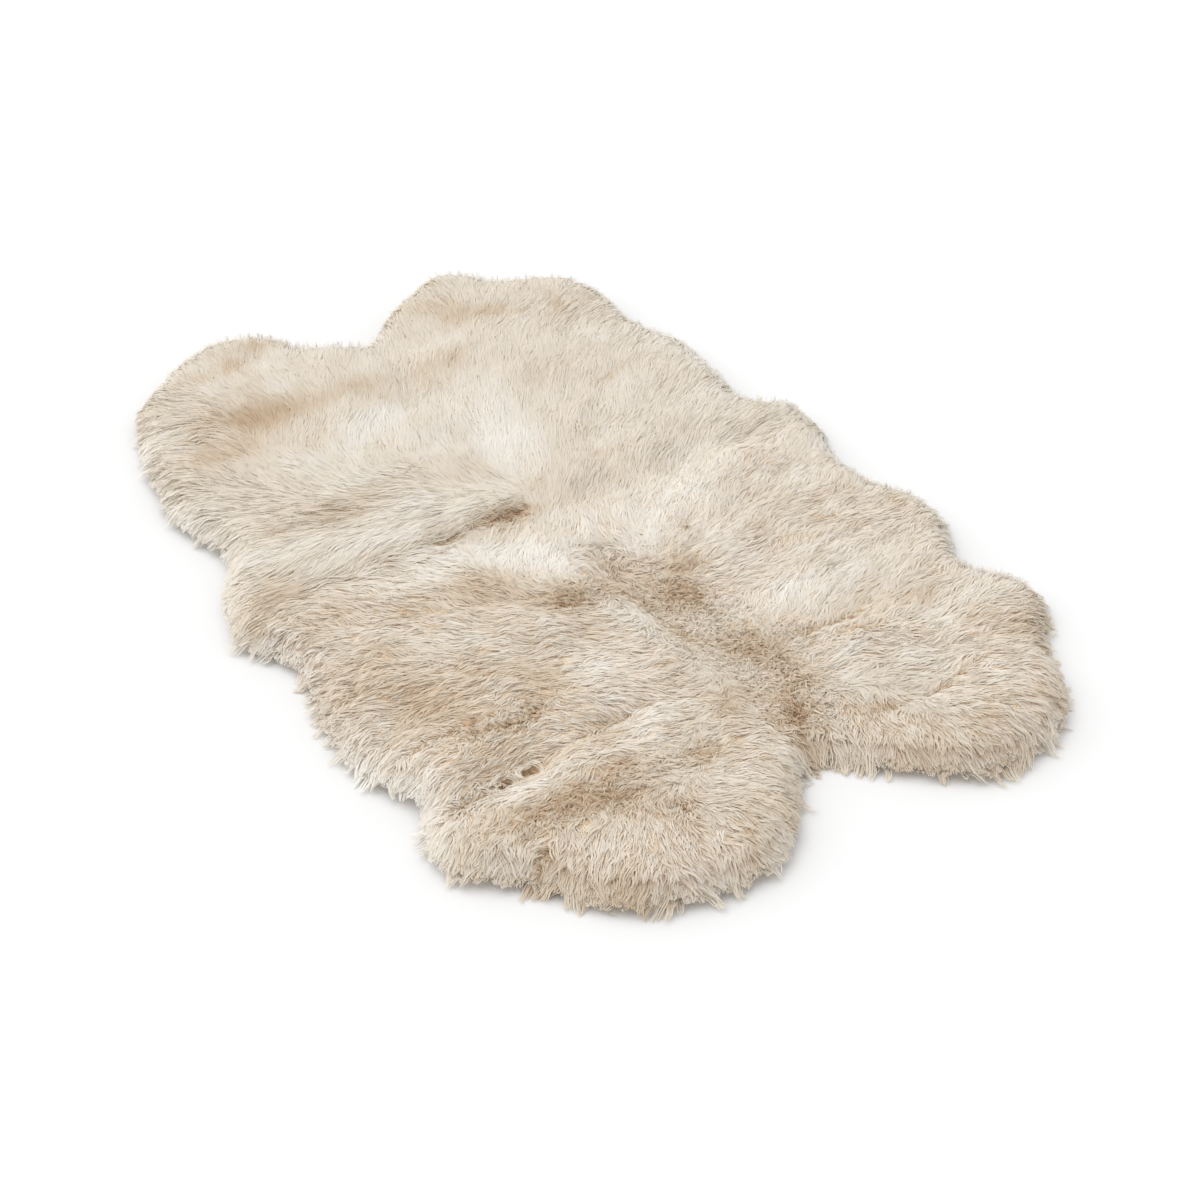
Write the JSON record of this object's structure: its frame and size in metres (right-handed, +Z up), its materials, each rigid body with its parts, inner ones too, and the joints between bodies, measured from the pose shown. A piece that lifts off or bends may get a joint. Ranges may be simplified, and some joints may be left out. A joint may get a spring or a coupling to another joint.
{
  "type": "sheepskin rug",
  "caption": "Flat lobed sheepskin rug of long undyed ivory wool, its pelts sewn edge to edge along a long centre seam and a short cross seam.",
  "frame": {"origin": "middle of the rug's plan, on the floor that it lies on", "axes": "+Y along the centre seam towards the far end, +X to the right, +Z up out of the floor"},
  "size_m": [1.1948, 1.7994, 0.0603],
  "materials": {
    "wool": "long undyed wool, soft and matt with a faint silky sheen",
    "hide": "tanned skin, sueded, on the underside"
  },
  "bodies": {
    "root": {"pelt_far_left": "wool", "pelt_far_right": "wool", "pelt_near_left": "wool", "pelt_near_right": "wool"}
  },
  "joints": []
}
